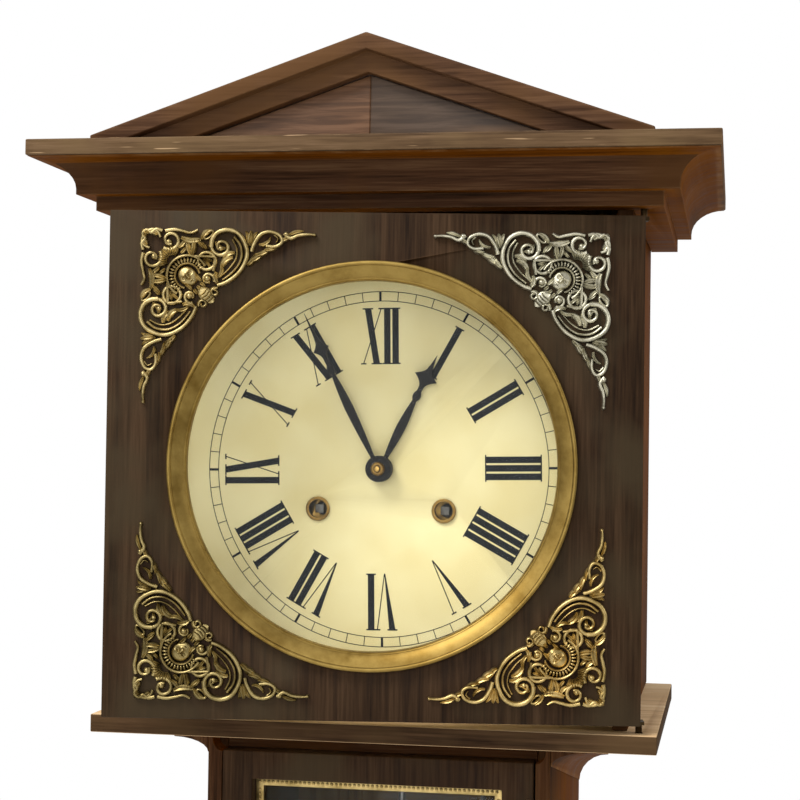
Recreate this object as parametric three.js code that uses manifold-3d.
// Hooded pendulum wall clock: an eight-day striking movement in a wall case with a glazed trunk.
// Millimetres. +X to the viewer's right, +Y into the wall, +Z up; the clock faces -Y.
// The origin lies on the wall, straight behind the centre of the dial.
import * as THREE from 'three';
import { mergeVertices } from 'three/addons/utils/BufferGeometryUtils.js';
import Module from 'manifold-3d';

const wasm = await Module();
wasm.setup();

// ---------------------------------------------------------------- driving dimensions
const GAP = 0.3; // clearance between pieces that touch
const DEG = Math.PI / 180;

const HOOD = { half: 140, front: -215.6, board: 8.2, bottom: -138, top: 168.6 };
const TOP_BOARD = { half: 187.7, front: -263.3, bottom: 168.9, top: 177.6 };
const FRIEZE = { out: 17.2, bottom: 141.9, top: 149.9 };
const COVE = { inner: 26, outer: 47, bottom: 153 };
const PEDIMENT = { front: -257, back: -236, apex: 233, end: 153, slope: Math.tan(19.1 * DEG) };
const RAKE = { outer: 7.8, inner: 12, step: 8, recess: 15 };
const DOOR = { left: -140, right: 145.7, front: -231, back: -216, bottom: -133.3, top: 137 };
const AJAR = 8.7; // degrees that the hood door stands open
const DOOR_PIVOT = { x: 146, y: -218, pin: 1.8 };
const DIAL = { half: 131, face: -196, back: -194, hole: 6 };
const BEZEL = { x: 1.9, z: 2.1, outer: 108.9, inner: 98.8, hole: 103.8 };
const SPANDREL = { out: 125.4, up: 125.6, arc: 117.5, thickness: 5 };
const SEAT = { half: 156.2, front: -230, bottom: -148.3, top: -138.3 };
const TRUNK = { inner: 89, outer: 97, front: -198, bottom: -560, top: -148.6 };
const TRUNK_DOOR = { half: 88, front: -200, back: -185, bottom: -552, top: -160 };
const STILE = 17.3;
const TRUNK_RAIL = { top: 15.5, bottom: 34 };
const TRUNK_PIVOT = { x: 85.8, y: -201.8 };
const KNOB = [-76, -356];
const BACK = { front: -8, half: 131.4, trunkHalf: 88.6 };

const PLATE = { half: 68, bottom: -72, top: 76, frontFace: -180, frontRear: -177.5,
  backFront: -132, backRear: -129.5 };
const PILLAR = { x: 60, low: -63, high: 66, r: 4 };
const LEAF = { root: 0.25, tip: 0.09 }; // half a pinion leaf's thickness, as shares of the tooth pitch
const TOOTH_ROOT = 0.3; // half a wheel tooth's thickness at its root

// Arbor positions, seen from the front as [x, z].
const CENTRE = [0, 0];
const GOING = [35.9, -23];
const STRIKE = [-35.9, -23];
const PENDULUM = { y: -114, top: 62.9, length: 441.9, bobR: 45, bobHalf: 9 };
const TIME = { hour: 26.4, minute: 333.2 }; // hand angles, clockwise from twelve

const WOOD = { color: 0x3f2d22, roughness: 0.55, metalness: 0 };
const SIDE_WOOD = { color: 0x7a4512, roughness: 0.5, metalness: 0 };
const BRASS = { color: 0xb58a3a, roughness: 0.35, metalness: 1 };
const STEEL = { color: 0x8d9095, roughness: 0.35, metalness: 1 };
const BLACK = { color: 0x191919, roughness: 0.4, metalness: 0.2 };
const SILVER = { color: 0xb9b6ab, roughness: 0.35, metalness: 1 };
const BRONZE = { color: 0x7d6236, roughness: 0.4, metalness: 1 };
const GILT = { color: 0xc79a45, roughness: 0.35, metalness: 1 };
const CREAM = { color: 0xe8dfae, roughness: 0.5, metalness: 0 };
const GLASS = { color: 0xdfe8e6, roughness: 0.05, metalness: 0 };

// ---------------------------------------------------------------- geometry helpers
/** A closed BufferGeometry as a manifold solid; a mirrored or inside-out mesh is turned right. */
function solid(geometry) {
  const bare = geometry.clone();
  bare.deleteAttribute('normal');
  bare.deleteAttribute('uv');
  const merged = mergeVertices(bare, 1e-4);
  const position = merged.attributes.position;
  const corners = merged.index.array;
  const [a, b, c] = [new THREE.Vector3(), new THREE.Vector3(), new THREE.Vector3()];
  const faces = [];
  let volume = 0;
  for (let i = 0; i < corners.length; i += 3) {
    const [p, q, r] = corners.slice(i, i + 3);
    if (p === q || q === r || r === p) continue;
    a.fromBufferAttribute(position, p);
    b.fromBufferAttribute(position, q);
    c.fromBufferAttribute(position, r);
    volume += a.dot(b.cross(c));
    faces.push([p, q, r]);
  }
  const order = volume < 0 ? [0, 2, 1] : [0, 1, 2];
  const triVerts = new Uint32Array(faces.flatMap((face) => order.map((k) => face[k])));
  const vertProperties = new Float32Array(position.array);
  return new wasm.Manifold(new wasm.Mesh({ numProp: 3, vertProperties, triVerts }));
}

function geometryOf(manifold) {
  const mesh = manifold.getMesh();
  const geometry = new THREE.BufferGeometry();
  geometry.setAttribute('position', new THREE.BufferAttribute(mesh.vertProperties, 3));
  geometry.setIndex(new THREE.BufferAttribute(mesh.triVerts, 1));
  geometry.computeVertexNormals();
  return geometry;
}

const join = (first, ...others) =>
  geometryOf(others.reduce((body, other) => body.add(solid(other)), solid(first)));
const cut = (first, ...tools) =>
  geometryOf(tools.reduce((body, tool) => body.subtract(solid(tool)), solid(first)));

function block(x0, x1, y0, y1, z0, z1) {
  const box = new THREE.BoxGeometry(x1 - x0, y1 - y0, z1 - z0);
  return box.translate((x0 + x1) / 2, (y0 + y1) / 2, (z0 + z1) / 2);
}

const shapeOf = (points) => new THREE.Shape(points.map(([x, z]) => new THREE.Vector2(x, z)));

/** An outline in X and Z, extruded from y = back forward to y = front, with holes cut through. */
function plate(points, back, front, holes = []) {
  const shape = shapeOf(points);
  shape.holes = holes.map((hole) => shapeOf(hole));
  const geometry = new THREE.ExtrudeGeometry(shape, { depth: back - front, bevelEnabled: false });
  return geometry.rotateX(Math.PI / 2).translate(0, back, 0);
}

/** Points of a circle, or of an arc from one angle to another (counter-clockwise from +X). */
function arc(x, z, r, from, to, steps) {
  return Array.from({ length: steps + 1 }, (_, i) => {
    const angle = from + ((to - from) * i) / steps;
    return [x + r * Math.cos(angle), z + r * Math.sin(angle)];
  });
}
const circle = (x, z, r, sides) => arc(x, z, r, 0, 2 * Math.PI, sides).slice(0, sides);
const rectangle = (x0, x1, z0, z1) => [[x0, z0], [x1, z0], [x1, z1], [x0, z1]];

/** A profile of [radius, y] turned about a line along Y through [x, z]. */
function turned(profile, [x, z] = [0, 0], sides = 16) {
  const points = profile.map(([r, y]) => new THREE.Vector2(r, y));
  return new THREE.LatheGeometry(points, sides).translate(x, 0, z);
}

/** A profile of [radius, z] turned about a vertical line through x, y. */
function turnedUpright(profile, x, y, sides = 16) {
  const points = profile.map(([r, z]) => new THREE.Vector2(r, z));
  return new THREE.LatheGeometry(points, sides).rotateX(Math.PI / 2).translate(x, y, 0);
}
const rodProfile = (r, from, to) => [[0, from], [r, from], [r, to], [0, to]];

/** A closed skin through rings of points, capped at both ends by the outline's own triangles. */
function skin(rings, outline) {
  const count = outline.length;
  const contour = outline.map(([u, v]) => new THREE.Vector2(u, v));
  const turn = Math.sign(THREE.ShapeUtils.area(contour));
  const index = [];
  const caps = THREE.ShapeUtils.triangulateShape(contour, []).map((face) => {
    const area = THREE.ShapeUtils.area(face.map((k) => contour[k]));
    return Math.sign(area) === turn ? face : [face[0], face[2], face[1]];
  });
  const last = (rings.length - 1) * count;
  caps.forEach(([p, q, r]) => index.push(p, r, q, last + p, last + q, last + r));
  for (let ring = 0; ring < rings.length - 1; ring += 1) {
    for (let k = 0; k < count; k += 1) {
      const [a, b] = [ring * count + k, ring * count + ((k + 1) % count)];
      index.push(a, b, b + count, a, b + count, a + count);
    }
  }
  const geometry = new THREE.BufferGeometry();
  const flat = rings.flat(2);
  geometry.setAttribute('position', new THREE.Float32BufferAttribute(flat, 3));
  geometry.setIndex(index);
  return geometry;
}

/** A moulding of [offset, z] points that runs along both sides and the front, with mitred corners. */
function mitredRun(profile, half, front) {
  const corners = [
    ([out, z]) => [-half - out, 0, z],
    ([out, z]) => [-half - out, front - out, z],
    ([out, z]) => [half + out, front - out, z],
    ([out, z]) => [half + out, 0, z],
  ];
  return skin(corners.map((corner) => profile.map(corner)), profile);
}

/** A stack of rectangles with their backs on the wall: [offset, z] from a half-width and a front. */
function steppedBlock(profile, half, front) {
  const outline = [[-1, 0], [-1, -1], [1, -1], [1, 0]];
  const rings = profile.map(([out, z]) =>
    outline.map(([x, y]) => [x * (half + out), -y * (front - out), z]));
  return skin(rings, outline);
}

// ---------------------------------------------------------------- gears
const pitchRadius = (teeth, module) => (teeth * module) / 2;

/** Outline of a gear, its first tooth centred on the angle phase: wheels have pointed teeth, pinions leaves. */
function gearOutline([x, z], teeth, module, phase) {
  const pitch = (2 * Math.PI) / teeth;
  const [root, tip] = [pitchRadius(teeth, module) - 1.1 * module, pitchRadius(teeth, module) + 0.75 * module];
  const leaf = [[root, -LEAF.root], [tip, -LEAF.tip], [tip, LEAF.tip], [root, LEAF.root]];
  const tooth = [[root, -TOOTH_ROOT], [tip, 0], [root, TOOTH_ROOT]];
  const corners = teeth > 12 ? tooth : leaf;
  return Array.from({ length: teeth }, (_, k) => k * pitch + phase).flatMap((angle) =>
    corners.map(([r, share]) => {
      const a = angle + share * pitch;
      return [x + r * Math.cos(a), z + r * Math.sin(a)];
    }));
}

/** Four windows between a wheel's hub and its rim. */
function crossings([x, z], hub, rim, arm = 2.4) {
  return [0, 1, 2, 3].map((k) => {
    const [from, to] = [(k * Math.PI) / 2, ((k + 1) * Math.PI) / 2];
    const [near, far] = [arm / hub, arm / rim];
    return [...arc(x, z, rim, from + far, to - far, 4), ...arc(x, z, hub, to - near, from + near, 2)];
  });
}

/** The phase that puts a follower's gap on a leader's tooth where the two pitch circles touch. */
function meshPhase(leader, leaderTeeth, leaderPhase, follower, followerTeeth) {
  const towards = Math.atan2(follower[1] - leader[1], follower[0] - leader[0]);
  const share = ((towards - leaderPhase) * leaderTeeth) / (2 * Math.PI);
  return towards + Math.PI - ((0.5 - share) * 2 * Math.PI) / followerTeeth;
}

/** The arbor that lies at two given distances from two others; side picks left or right. */
function arborBetween(a, reachA, b, reachB, side) {
  const [dx, dz] = [b[0] - a[0], b[1] - a[1]];
  const span = Math.hypot(dx, dz);
  const along = (reachA ** 2 - reachB ** 2 + span ** 2) / (2 * span);
  const across = side * Math.sqrt(reachA ** 2 - along ** 2);
  return [a[0] + (dx * along - dz * across) / span, a[1] + (dz * along + dx * across) / span];
}
const reach = (wheel, pinion, module) => pitchRadius(wheel + pinion, module);

// ---------------------------------------------------------------- the clock and its pieces
const clock = new THREE.Group();
const arbors = {};

function piece(name, geometry, look) {
  const mesh = new THREE.Mesh(geometryOf(solid(geometry)), new THREE.MeshStandardMaterial(look));
  mesh.name = name;
  clock.add(mesh);
}

function addBackboard() {
  const { half, trunkHalf } = BACK;
  const outline = [
    [-trunkHalf, TRUNK.bottom], [trunkHalf, TRUNK.bottom], [trunkHalf, HOOD.bottom],
    [half, HOOD.bottom], [half, HOOD.top], [-half, HOOD.top], [-half, HOOD.bottom],
    [-trunkHalf, HOOD.bottom],
  ];
  piece('back_board', plate(outline, 0, BACK.front, [circle(0, 132, 9, 16)]), SIDE_WOOD);
  const eye = plate(circle(0, 132, 6, 16), 0, -20);
  const slot = block(-2.4, 2.4, -20, 0, 134, 148);
  const body = plate(rectangle(-22, 22, 112, 158), BACK.front - GAP, BACK.front - GAP - 2);
  piece('hanger_plate', cut(body, eye, slot), BRASS);
}

function addHood() {
  [['left', -1], ['right', 1]].forEach(([side, sign]) => {
    const [a, b] = [sign * HOOD.half, sign * (HOOD.half - HOOD.board)].sort((p, q) => p - q);
    piece(`hood_side_${side}`, block(a, b, HOOD.front, 0, HOOD.bottom, HOOD.top), SIDE_WOOD);
  });
  const { half, front, bottom, top } = TOP_BOARD;
  piece('cornice_top_board', block(-half, half, front, 0, bottom, top), WOOD);

  const cove = Array.from({ length: 9 }, (_, i) => {
    const angle = (i / 8) * 90 * DEG;
    return [COVE.outer - (COVE.outer - COVE.inner) * Math.cos(angle),
      COVE.bottom + (HOOD.top - COVE.bottom) * Math.sin(angle)];
  });
  const profile = [
    [GAP, FRIEZE.bottom], [FRIEZE.out, FRIEZE.bottom], [FRIEZE.out, FRIEZE.top],
    [COVE.inner, FRIEZE.top], ...cove, [GAP, HOOD.top],
  ];
  const socket = turnedUpright(rodProfile(DOOR_PIVOT.pin + 0.6, FRIEZE.bottom - 1, FRIEZE.bottom + 4),
    DOOR_PIVOT.x, DOOR_PIVOT.y, 12);
  piece('cornice_moulding', cut(mitredRun(profile, HOOD.half, HOOD.front), socket), WOOD);
}

/** An upside-down V between two lines that fall from the apex to the cornice, its ends cut upright. */
function chevron(apexTop, apexBottom) {
  const foot = TOP_BOARD.top + GAP;
  const { slope, end } = PEDIMENT;
  const spread = (apex) => (apex - foot) / slope;
  const isCut = spread(apexTop) > end;
  const tip = isCut ? [[end, foot], [end, apexTop - slope * end]] : [[spread(apexTop), foot]];
  const otherTip = tip.map(([x, z]) => [-x, z]).reverse();
  return [[0, apexBottom], [spread(apexBottom), foot], ...tip, [0, apexTop], ...otherTip,
    [-spread(apexBottom), foot]];
}

function addPediment() {
  const { apex, front, back, slope } = PEDIMENT;
  const middle = apex - RAKE.outer;
  const under = middle - RAKE.inner;
  const outer = plate(chevron(apex, middle - 1), back, front);
  const inner = plate(chevron(middle, under), back, front + RAKE.step);
  piece('pediment_moulding', join(outer, inner), WOOD);

  const foot = TOP_BOARD.top + GAP;
  const peak = under - 2 * GAP;
  const spread = (peak - foot) / slope;
  const face = front + RAKE.recess;
  const panel = plate([[-spread, foot], [spread, foot], [0, peak]], back, face);
  piece('tympanum', cut(panel, block(-0.3, 0.3, face - 1, face + 0.6, foot - 1, peak + 1)), WOOD);
}

function addSeatBoard() {
  const { half, front, bottom, top } = SEAT;
  const board = block(-half, half, front, 0, bottom, top);
  const well = block(-75, 75, -150, -16, bottom - 1, top + 1);
  const notch = block(-TRUNK.inner, TRUNK.inner, BACK.front - GAP, 1, bottom - 1, top + 1);
  const socket = turnedUpright(rodProfile(DOOR_PIVOT.pin + 0.6, top - 5, top + 1),
    DOOR_PIVOT.x, DOOR_PIVOT.y, 12);
  piece('hood_seat_board', cut(board, well, notch, socket), WOOD);
}

/** Coved corbel under each end of the seat board; its lower edge drops towards the wall. */
function addBrackets() {
  const section = (edge, low, high) => {
    const cove = Array.from({ length: 7 }, (_, i) => {
      const angle = (i / 6) * 90 * DEG;
      return [edge - (edge - TRUNK.outer - GAP) * Math.cos(angle), low + (high - low) * Math.sin(angle)];
    });
    return [[TRUNK.outer + GAP, TRUNK.top], ...cove, [edge, TRUNK.top]];
  };
  const [near, far] = [section(117.4, -162, -153.8), section(116, -203, -185.5)];
  [['left', -1], ['right', 1]].forEach(([side, sign]) => {
    const rings = [[near, TRUNK.front], [far, 0]].map(([points, y]) =>
      points.map(([x, z]) => [sign * x, y, z]));
    piece(`bracket_${side}`, skin(rings, near), SIDE_WOOD);
  });
}

function addTrunk() {
  const { inner, outer, front, bottom, top } = TRUNK;
  [['left', -1], ['right', 1]].forEach(([side, sign]) => {
    const [a, b] = [sign * inner, sign * outer].sort((p, q) => p - q);
    const board = block(a, b, front, 0, bottom, top);
    const shoulder = [[inner - 1, top + 1], [inner - 1, -161], [inner, -161],
      ...arc(inner, -154, 7, -90 * DEG, 0, 5).map(([x, z]) => [inner + (x - inner) * 0.8, z]),
      [inner + 5.6, top + 1]];
    const relief = plate(shoulder.map(([x, z]) => [sign * x, z]), front + 14, front - 1);
    const [knobX, knobZ] = KNOB;
    const mortise = block(-inner - 5.5, -inner + 1, TRUNK_DOOR.back - 0.6, TRUNK_DOOR.back + 3.4, knobZ - 4.5, knobZ + 15);
    const tools = sign * knobX > 0 ? [relief, mortise] : [relief];
    piece(`trunk_side_${side}`, cut(board, ...tools), SIDE_WOOD);
  });
  piece('trunk_top_rail', block(GAP - inner, inner - GAP, TRUNK_DOOR.back + GAP, -166, -178, top), WOOD);
  const base = [[12, bottom - GAP], [12, -568], [8, -568.6]];
  const flare = Array.from({ length: 7 }, (_, i) => {
    const angle = (i / 6) * 90 * DEG;
    return [8 - 22 * Math.sin(angle), -572 - 24 * (1 - Math.cos(angle))];
  });
  const drop = [[-14, -604], [-18, -606], [-26, -612], [-38, -618], [-56, -622]];
  piece('trunk_base', steppedBlock([...base, ...flare, ...drop], outer, front), WOOD);
}

/** Swings a piece of the hood door, built shut, to where the door stands ajar. */
function ajar(geometry) {
  const { x, y } = DOOR_PIVOT;
  return geometry.translate(-x, -y, 0).rotateZ(AJAR * DEG).translate(x, y, 0);
}

/** Half of a pierced corner casting's outline, as distances from its outer corner along each edge. */
const CASTING_EDGE = [[0.6, 0.6], [9, 0.4], [16.5, 0.8], [24, 1.6], [31.6, 0.8], [39.5, 1], [45.5, 0.4],
  [52, 1.6], [58.7, 2], [70, 1.6], [80.4, 1.2], [94, 1.4], [93, 4.4], [80, 6.4], [75, 9.8], [66, 9.8],
  [61.5, 12], [61, 18.5], [54, 28]];
const PIERCINGS = [[54, 12, 3], [46.5, 20, 4.2], [70, 5.8, 2], [31, 11, 2.4]];

function addHoodDoor() {
  const { left, right, front, back, bottom, top } = DOOR;
  const centre = [BEZEL.x, BEZEL.z];
  const sides = 48;
  const hole = circle(...centre, BEZEL.hole, sides);
  const { x, y, pin } = DOOR_PIVOT;
  const board = plate(rectangle(left, right, bottom, top), back, front, [hole]);
  const mortise = (from, to) => block(x - 22 - GAP, x + 10, y - 7.6 - GAP, y + 10, from, to);
  const mortises = [mortise(top - 1.8 - GAP, top + 1), mortise(bottom - 1, bottom + 1.8 + GAP)];
  piece('hood_door_panel', ajar(cut(board, ...mortises)), WOOD);

  const face = front - GAP;
  const ring = [
    [BEZEL.outer, face], [BEZEL.outer - 0.5, face - 4.4], [BEZEL.outer - 1.8, face - 4.8],
    [BEZEL.outer - 2.6, face - 3.6], [BEZEL.inner + 0.6, face + 1.4], [BEZEL.inner, face + 2.4],
    [BEZEL.inner, face + 7], [BEZEL.inner + 4.2, face + 7], [BEZEL.inner + 4.2, face],
    [BEZEL.outer, face],
  ];
  piece('bezel', ajar(turned(ring, centre, sides)), BRASS);
  const glassFront = face + 7 + GAP;
  const pane = turned(rodProfile(BEZEL.hole - 1, glassFront, glassFront + 2), centre, 32);
  piece('dial_glass', ajar(pane), GLASS);

  const { out, up, arc: sweep, thickness } = SPANDREL;
  const curve = arc(0, 0, sweep, 39 * DEG, 51 * DEG, 4);
  const outline = [...CASTING_EDGE.map(([u, v]) => [out - v, up - u]).slice(1).reverse(),
    ...CASTING_EDGE.map(([u, v]) => [out - u, up - v]), ...curve.reverse()];
  const piercings = PIERCINGS.flatMap(([u, v, r]) => [[out - u, up - v, r], [out - v, up - u, r]]);
  const holes = piercings.map(([x, z, r]) => circle(x, z, r, 8));
  const finishes = { top_left: [-1, 1, BRASS], top_right: [1, 1, SILVER],
    bottom_left: [-1, -1, BRONZE], bottom_right: [1, -1, GILT] };
  Object.entries(finishes).forEach(([corner, [sx, sz, look]]) => {
    const casting = plate(outline, 0, -thickness, holes).scale(sx, 1, sz);
    piece(`spandrel_${corner}`, ajar(casting.translate(BEZEL.x, face, BEZEL.z)), look);
  });

  const strap = (from, to) => block(x - 22, x + 2.2, y - 7.6, y + 1.6, from, to);
  const [above, below] = [[top - 1, FRIEZE.bottom + 3], [SEAT.top - 4, bottom + 1]].map(([from, to]) =>
    turnedUpright(rodProfile(pin, from, to), x, y, 12));
  piece('door_pivot_upper', ajar(join(strap(top - 1.8, top), above)), BRONZE);
  piece('door_pivot_lower', ajar(join(strap(bottom, bottom + 1.8), below)), BRONZE);
}

function addTrunkDoor() {
  const { half, front, back, bottom, top } = TRUNK_DOOR;
  const open = { half: half - STILE, bottom: bottom + TRUNK_RAIL.bottom, top: top - TRUNK_RAIL.top };
  const inset = (by) => rectangle(by - open.half, open.half - by, open.bottom + by, open.top - by);
  const frame = plate(rectangle(-half, half, bottom, top), back, front, [inset(0)]);
  const spindle = turned(rodProfile(2.4, front - 1, back + 1), KNOB, 12);
  piece('trunk_door_frame', cut(frame, spindle), WOOD);
  piece('trunk_gilt_bead', plate(inset(GAP), front + 12, front + 8, [inset(4.8)]), GILT);
  piece('trunk_glass', plate(inset(GAP), front + 14.6, front + 12 + GAP), GLASS);

  [['upper', -196], ['lower', -516]].forEach(([place, z]) => {
    const { x, y } = TRUNK_PIVOT;
    const knuckle = turnedUpright(rodProfile(1.5, z - 16, z + 16), x, y, 12);
    const leaf = block(x - 11, x, front - GAP - 1.2, front - GAP, z - 15, z + 15);
    piece(`trunk_hinge_${place}`, join(leaf, knuckle), BRASS);
  });
  const knob = [[0, front - 20], [5, front - 19], [7, front - 15], [5.6, front - 11], [2.8, front - 8],
    [2.8, front - 4], [6, front - 3], [6, front - GAP], [1.9, front - GAP], [1.9, back + 1.4], [0, back + 1.4]];
  const [x, z] = KNOB;
  const catchArm = block(x - 3, x + 3, back + 0.4, back + 2, z - 3, z + 16);
  piece('trunk_knob', join(turned(knob, KNOB, 16), catchArm), BRASS);
}

/** Half-widths at heights along a hand, mirrored into a closed outline and turned to its angle. */
function handOutline(boss, stations, clockwise) {
  const first = Math.asin(stations[0][0] / boss);
  const around = arc(0, 0, boss, 90 * DEG + first, 450 * DEG - first, 16);
  const right = stations.slice(1).map(([half, z]) => [half, z]);
  const left = [...stations.slice(1, -1)].reverse().map(([half, z]) => [-half, z]);
  const [cos, sin] = [Math.cos(-clockwise * DEG), Math.sin(-clockwise * DEG)];
  return [...around, ...right, ...left].map(([x, z]) => [x * cos - z * sin, x * sin + z * cos]);
}

function addDialAndHands() {
  const { half, face, back, hole } = DIAL;
  const holes = [circle(0, 0, hole, 16), circle(...GOING, 6.3, 16), circle(...STRIKE, 6.3, 16)];
  const sheet = plate(rectangle(-half, half, -half, half), back, face, holes);
  const feet = [[-46, 50], [46, 50], [-50, -60], [50, -60]].map((spot) =>
    turned(rodProfile(3, back - 1, PLATE.frontFace - GAP), spot, 10));
  piece('dial_plate', join(sheet, ...feet), CREAM);
  [['going', GOING], ['strike', STRIKE]].forEach(([train, at]) => {
    const collet = [[5.1, face - 1.3], [6.9, face - 1.3], [6.9, face - GAP], [5.8, face - GAP],
      [5.8, back], [5.1, back], [5.1, face - 1.3]];
    piece(`winding_collet_${train}`, turned(collet, at, 20), BRASS);
  });

  const hourStations = [[1.1, 7], [1.1, 8], [2.5, 26], [1.2, 42.5], [2.1, 46], [1.2, 48.8], [1.9, 52],
    [6.6, 57], [1.9, 62], [0.8, 65], [0, 71]];
  const minuteStations = [[1.1, 7], [1.1, 8], [2.4, 38], [1.1, 58.8], [2, 62], [1.1, 64.8], [1.5, 69.5],
    [4.4, 74.5], [1.5, 79.5], [0.8, 84], [0, 97]];
  piece('hour_hand', plate(handOutline(7.3, hourStations, TIME.hour), face - 3.2, face - 4.6,
    [circle(0, 0, 5.1, 16)]), BLACK);
  piece('minute_hand', plate(handOutline(7.3, minuteStations, TIME.minute), face - 8, face - 9.4,
    [circle(0, 0, 3.4, 16)]), BLACK);
  const nut = [[1.9, face - 10.5], [4, face - 10.5], [4, face - 11.2], [3.2, face - 12.4], [1.9, face - 12.4],
    [1.9, face - 10.5]];
  piece('hand_nut', turned(nut, CENTRE, 16), BRASS);
}

// ---------------------------------------------------------------- movement
const GREAT = { teeth: 36, module: 1.6, y: [-171.5, -174] };
const DRUM = { r: 22, wall: 1.6, end: -146 };
const LEAVES = 6;
const CENTRE_WHEEL = { teeth: 60, module: 1, y: [-174.9, -176.5] };
const THIRD_WHEEL = { teeth: 54, module: 0.9, y: [-158, -159.6], pinion: 6 };
const ESCAPE = { teeth: 30, r: 16, y: [-146, -147.5], pinion: 6 };
const REAR_WHEEL = { teeth: 36, module: 1.6, y: [-137.4, -139.2] };
const PIN_WHEEL = { module: 4 / 3, pins: 8, pinR: 20 };
const FLY_LEAVES = 6;
const MOTION = { cannon: 8, minute: 24, leaves: 8, hour: 32, module: 1.35, y: [-182.5, -184.3], yHour: [-187.5, -189.3] };
const MOTION_REACH = reach(MOTION.cannon, MOTION.minute, MOTION.module);

const GREAT_REACH = reach(GREAT.teeth, LEAVES, GREAT.module);
const REAR_REACH = reach(REAR_WHEEL.teeth, LEAVES, REAR_WHEEL.module);
arbors.intermediate = arborBetween(GOING, GREAT_REACH, CENTRE, REAR_REACH, -1);
arbors.third = [-22, Math.sqrt(33 ** 2 - 22 ** 2)];
arbors.escape = [0, arbors.third[1] + Math.sqrt(27 ** 2 - 22 ** 2)];
arbors.pin = arborBetween(STRIKE, GREAT_REACH, CENTRE, REAR_REACH, -1);
arbors.fly = [arbors.pin[0], arbors.pin[1] - reach(REAR_WHEEL.teeth, FLY_LEAVES, PIN_WHEEL.module)];
arbors.minute = [0, -MOTION_REACH];
arbors.pallets = [0, PENDULUM.top];
arbors.hammer = [24, -60];

/** A wheel with crossings, between two y faces. */
function wheel(at, teeth, module, phase, [rear, fore], hub = 5) {
  const rim = pitchRadius(teeth, module) - 2.2 * module - 1.6;
  return plate(gearOutline(at, teeth, module, phase), rear, fore, crossings(at, hub, rim));
}
const pinion = (at, leaves, module, phase, rear, fore) =>
  plate(gearOutline(at, leaves, module, phase), rear, fore);

/** An arbor between the plates: a shaft with a thin pivot in each plate. */
function arbor(at, r, front = PLATE.frontRear, rear = PLATE.backFront) {
  const pivot = 1;
  return turned([[0, front - 2], [pivot, front - 2], [pivot, front + 0.5], [r, front + 0.5],
    [r, rear - 0.5], [pivot, rear - 0.5], [pivot, rear + 2], [0, rear + 2]], at, 10);
}

function addPlates() {
  const { half, bottom, top, frontFace, frontRear, backFront, backRear } = PLATE;
  const outline = rectangle(-half, half, bottom, top);
  const pivots = [arbors.intermediate, arbors.third, arbors.escape, arbors.pin, arbors.fly]
    .map((at) => circle(...at, 1.5, 10));
  const barrels = [GOING, STRIKE];
  const frontHoles = [...pivots, circle(...arbors.pallets, 1.5, 10), circle(...arbors.hammer, 1.5, 10),
    circle(...CENTRE, 2.4, 12), circle(...arbors.minute, 1.5, 10), ...barrels.map((at) => circle(...at, 4.4, 12))];
  const backHoles = [...pivots, circle(...arbors.pallets, 2.2, 10), circle(...arbors.hammer, 2.2, 10),
    circle(...CENTRE, 1.5, 10), ...barrels.map((at) => circle(...at, 2.4, 12))];
  piece('movement_front_plate', plate(outline, frontRear, frontFace, frontHoles), BRASS);
  const back = plate(outline, backRear, backFront, backHoles);
  const spots = [[-1, PILLAR.low], [1, PILLAR.low], [-1, PILLAR.high], [1, PILLAR.high]];
  const pillars = spots.map(([sign, z]) =>
    turned(rodProfile(PILLAR.r, frontRear + GAP, backFront + 1), [sign * PILLAR.x, z], 10));
  piece('movement_back_plate', join(back, ...pillars), BRASS);
  piece('movement_shelf', block(0.4 - BACK.half, BACK.half - 0.4, -186, -126, bottom - 14, bottom - GAP), WOOD);

  const foot = (x) => block(x - 4, x + 4, -121, backRear + GAP, 56, 70);
  const bridge = block(-22, 22, -121, -118.4, 54, 72);
  const chops = block(-5, 5, -119, -109, 63.4, 71.5);
  const slit = block(-1.1, 1.1, -117, -111, 60, 69.8);
  const bearing = turned(rodProfile(1.5, -122, -117), arbors.pallets, 10);
  piece('back_cock', cut(join(bridge, foot(-18), foot(18), chops), slit, bearing), BRASS);
}

/** Great wheel and spring drum in one, running free on its winding arbor. */
function addBarrel(train, at, phase) {
  const [rear, fore] = GREAT.y;
  const bore = circle(...at, 3.7, 16);
  const great = plate(gearOutline(at, GREAT.teeth, GREAT.module, phase), rear, fore, [bore]);
  const { r, wall, end } = DRUM;
  const drum = turned([[3.7, rear - 0.6], [r, rear - 0.6], [r, end], [3.7, end], [3.7, end - wall],
    [r - wall, end - wall], [r - wall, rear + 0.6], [3.7, rear + 0.6], [3.7, rear - 0.6]], at, 20);
  piece(`${train}_barrel`, join(great, drum), BRASS);
  const shaft = turned([[0, -176], [3.1, -176], [3.1, -133], [1.9, -133], [1.9, -130], [0, -130]], at, 12);
  const neck = turned(rodProfile(3.6, -184, -175), at, 12);
  const square = block(at[0] - 2.4, at[0] + 2.4, -192.6, -183, at[1] - 2.4, at[1] + 2.4);
  piece(`${train}_winding_arbor`, join(shaft, neck, square), STEEL);
}

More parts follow.
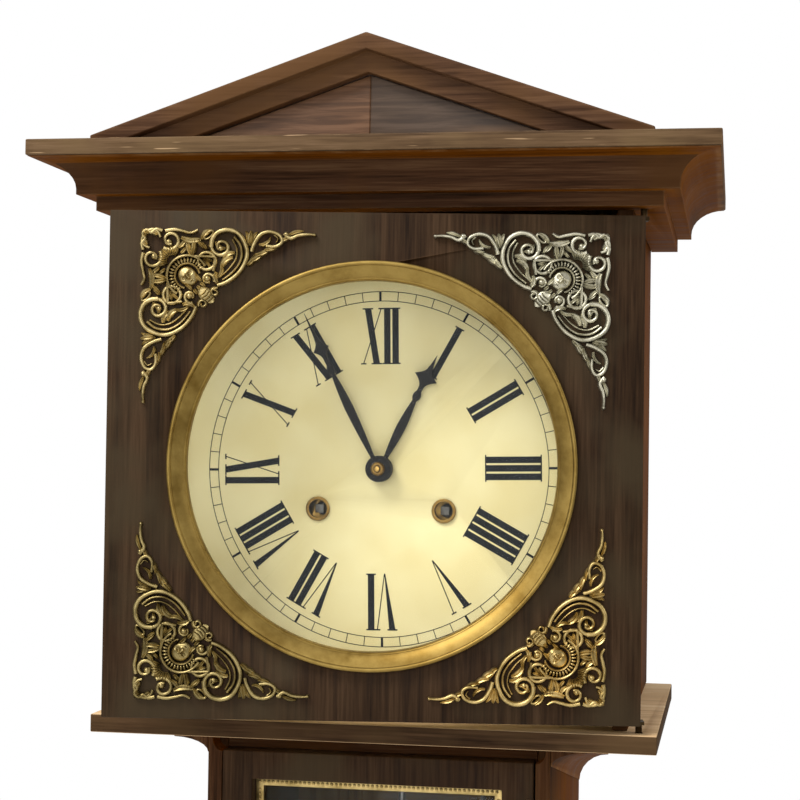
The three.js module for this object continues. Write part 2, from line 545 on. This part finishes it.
function addGoingTrain() {
  const phase = { great: 0 };
  phase.leaves = meshPhase(GOING, GREAT.teeth, phase.great, arbors.intermediate, LEAVES);
  phase.intermediate = 0.03;
  phase.centreLeaves = meshPhase(arbors.intermediate, REAR_WHEEL.teeth, phase.intermediate, CENTRE, LEAVES);
  phase.centre = 0;
  phase.thirdLeaves = meshPhase(CENTRE, CENTRE_WHEEL.teeth, phase.centre, arbors.third, THIRD_WHEEL.pinion);
  phase.third = 0;
  phase.escapeLeaves = meshPhase(arbors.third, THIRD_WHEEL.teeth, phase.third, arbors.escape, ESCAPE.pinion);

  addBarrel('going', GOING, phase.great);
  const at = arbors.intermediate;
  piece('intermediate_wheel', join(arbor(at, 2), pinion(at, LEAVES, GREAT.module, phase.leaves, -170.8, -174.4),
    wheel(at, REAR_WHEEL.teeth, REAR_WHEEL.module, phase.intermediate, REAR_WHEEL.y)), BRASS);

  const centreShaft = turned([[0, DIAL.face - 13.4], [1.5, DIAL.face - 13.4], [1.5, -177], [2, -177], [2, -132.5],
    [1, -132.5], [1, -130], [0, -130]], CENTRE, 12);
  piece('centre_wheel', join(centreShaft, pinion(CENTRE, LEAVES, REAR_WHEEL.module, phase.centreLeaves, -136.6, -140),
    wheel(CENTRE, CENTRE_WHEEL.teeth, 1, phase.centre, CENTRE_WHEEL.y)), BRASS);
  piece('third_wheel', join(arbor(arbors.third, 1.3),
    pinion(arbors.third, THIRD_WHEEL.pinion, 1, phase.thirdLeaves, -174.5, -176.9),
    wheel(arbors.third, THIRD_WHEEL.teeth, 0.9, phase.third, THIRD_WHEEL.y, 4)), BRASS);

  const pitch = (2 * Math.PI) / ESCAPE.teeth;
  const teeth = Array.from({ length: ESCAPE.teeth }, (_, k) => k * pitch).flatMap((angle) =>
    [[13, 0], [ESCAPE.r, 0.34], [ESCAPE.r, 0.44], [13, 0.5]].map(([r, share]) => {
      const a = angle - share * pitch;
      return [arbors.escape[0] + r * Math.cos(a), arbors.escape[1] + r * Math.sin(a)];
    }).reverse()).reverse();
  const disc = plate(teeth, ...ESCAPE.y, crossings(arbors.escape, 3.4, 11, 1.2));
  piece('escape_wheel', join(arbor(arbors.escape, 1.2), disc,
    pinion(arbors.escape, ESCAPE.pinion, 0.9, phase.escapeLeaves, -156.6, -161)), BRASS);
}

/** Anchor with two pallets above the escape wheel, and the crutch that leads the pendulum. */
function addPallets() {
  const [x, z] = arbors.pallets;
  const [rear, fore] = ESCAPE.y;
  const clear = ESCAPE.r + 1.7;
  const tip = (angle) => [arbors.escape[0] + clear * Math.cos(angle), arbors.escape[1] + clear * Math.sin(angle)];
  const [right, left] = [tip(44 * DEG), tip(136 * DEG)];
  const anchor = [
    [x - 4, z - 3.5], left, [left[0] - 3, left[1] - 1], [x - 14, z - 4], [x - 5, z + 4],
    [x + 5, z + 4], [x + 14, z - 4], [right[0] + 3, right[1] - 1], right, [x + 4, z - 3.5],
  ];
  const staff = turned([[0, -179.5], [1, -179.5], [1, -177], [1.6, -177], [1.6, -122.4], [1, -122.4],
    [1, -119], [0, -119]], arbors.pallets, 10);
  const crutch = plate([[-1.5, z], [1.5, z], [1.2, -26], [-1.2, -26]], -123.8, -125.4);
  const pin = block(-5.4, 5.4, -125, -119.5, -28, -24);
  const prongs = [-1, 1].map((sign) => block(sign * 4.4 - 1, sign * 4.4 + 1, -125, -109, -28, -24));
  piece('pallets', join(plate(anchor, rear, fore), staff, crutch, pin, ...prongs), STEEL);
}

function addStrikeTrain() {
  const leavesPhase = meshPhase(STRIKE, GREAT.teeth, 0, arbors.pin, LEAVES);
  addBarrel('strike', STRIKE, 0);
  const at = arbors.pin;
  const pins = Array.from({ length: PIN_WHEEL.pins }, (_, k) => {
    const angle = ((k + 0.5) / PIN_WHEEL.pins) * 2 * Math.PI;
    const spot = [at[0] + PIN_WHEEL.pinR * Math.cos(angle), at[1] + PIN_WHEEL.pinR * Math.sin(angle)];
    return turned(rodProfile(0.9, -144.6, -138), spot, 6);
  });
  piece('pin_wheel', join(arbor(at, 2), pinion(at, LEAVES, GREAT.module, leavesPhase, -170.8, -174.4),
    wheel(at, REAR_WHEEL.teeth, PIN_WHEEL.module, 0, REAR_WHEEL.y), ...pins), BRASS);
  const flyPhase = meshPhase(at, REAR_WHEEL.teeth, 0, arbors.fly, FLY_LEAVES);
  const vane = block(arbors.fly[0] - 9.5, arbors.fly[0] + 9.5, -168, -148, arbors.fly[1] - 0.5, arbors.fly[1] + 0.5);
  piece('fly', join(arbor(arbors.fly, 1.2), pinion(arbors.fly, FLY_LEAVES, PIN_WHEEL.module, flyPhase, -136.6, -140), vane), BRASS);

  const [x, z] = arbors.hammer;
  const [dx, dz] = [at[0] - x, at[1] - z];
  const span = Math.hypot(dx, dz);
  const tailEnd = (span - PIN_WHEEL.pinR - 2) / span;
  const side = [(-dz / span) * 1.6, (dx / span) * 1.6];
  const tail = plate([[x - side[0], z - side[1]], [x + side[0], z + side[1]],
    [x + dx * tailEnd, z + dz * tailEnd]], -141.4, -143.2);
  const staff = turned([[0, -179.5], [1, -179.5], [1, -177], [1.6, -177], [1.6, -24], [0, -24]],
    arbors.hammer, 10);
  const stem = block(x - 1.2, x + 1.2, -29.2, -26.8, -104, z);
  const head = turned(rodProfile(5, -8, 8), [0, 0], 12).rotateZ(Math.PI / 2).translate(x + 2, -28, -104);
  piece('hammer', join(staff, tail, stem, head), STEEL);
  const rods = [37.8, 50].map((rodX) => turnedUpright(rodProfile(1.6, -440, -80), rodX, -28, 8));
  piece('gong', join(block(30, 62, -38, BACK.front - GAP, -86, -64), ...rods), STEEL);
}

function addMotionWork() {
  const { cannon, minute, leaves, hour, y, yHour } = MOTION;
  const minutePhase = meshPhase(CENTRE, cannon, 0, arbors.minute, minute);
  const hourPhase = meshPhase(arbors.minute, leaves, 0, CENTRE, hour);
  const moduleHour = (2 * MOTION_REACH) / (leaves + hour);
  const bore = [circle(...CENTRE, 1.9, 12)];
  const pipe = turned([[1.9, y[0]], [3, y[0]], [3, DIAL.face - 10.2], [1.9, DIAL.face - 10.2], [1.9, y[0]]], CENTRE, 16);
  piece('cannon_pinion', join(plate(gearOutline(CENTRE, cannon, MOTION.module, 0), ...y, bore), pipe), BRASS);
  const stud = turned([[0, -191], [1, -191], [1, -178], [0, -178]], arbors.minute, 10);
  piece('minute_wheel', join(wheel(arbors.minute, minute, MOTION.module, minutePhase, y, 4.6),
    pinion(arbors.minute, leaves, moduleHour, 0, y[1] + 1, yHour[1] - 0.4), stud), BRASS);
  const hourPipe = turned([[3.4, yHour[0]], [4.6, yHour[0]], [4.6, DIAL.face - 5], [3.4, DIAL.face - 5],
    [3.4, yHour[0]]], CENTRE, 16);
  piece('hour_wheel', join(plate(gearOutline(CENTRE, hour, moduleHour, hourPhase), ...yHour,
    [circle(...CENTRE, 3.4, 16), ...crossings(CENTRE, 6.6, 13, 1.4)]), hourPipe), BRASS);
}

function addPendulum() {
  const { y, top, length, bobR, bobHalf } = PENDULUM;
  const centre = top - length;
  piece('suspension_spring', block(-0.2, 0.2, y - 2.4, y + 2.4, 47.4, top + 4.6), STEEL);
  const hook = block(-3, 3, y - 3, y + 3, 34, 47);
  const rod = turnedUpright(rodProfile(2, centre - bobR - 18, 36), 0, y, 12);
  piece('pendulum_rod', join(hook, rod), STEEL);
  const lens = [0, 0.34, 0.6, 0.82, 1].map((share) => [
    bobR * share, bobHalf * Math.sqrt(1 - (share * 0.94) ** 2)]);
  const profile = [...lens.map(([r, half]) => [r, -half]), ...lens.reverse().map(([r, half]) => [r, half])];
  const bob = turned(profile.map(([r, offset]) => [r, y + offset]), [0, centre], 32);
  const channel = block(-2.4, 2.4, y - 2.4, y + 2.4, centre - bobR - 2, centre + bobR + 2);
  piece('pendulum_bob', cut(bob, channel), BRASS);
  const nutTop = centre - bobR - GAP;
  piece('rating_nut', turnedUpright([[2.4, nutTop - 6], [7, nutTop - 6], [7.4, nutTop - 3], [7, nutTop],
    [2.4, nutTop], [2.4, nutTop - 6]], 0, y, 16), BRASS);
}

addBackboard();
addHood();
addPediment();
addSeatBoard();
addBrackets();
addTrunk();
addHoodDoor();
addTrunkDoor();
addDialAndHands();
addPlates();
addGoingTrain();
addPallets();
addStrikeTrain();
addMotionWork();
addPendulum();

export default clock;
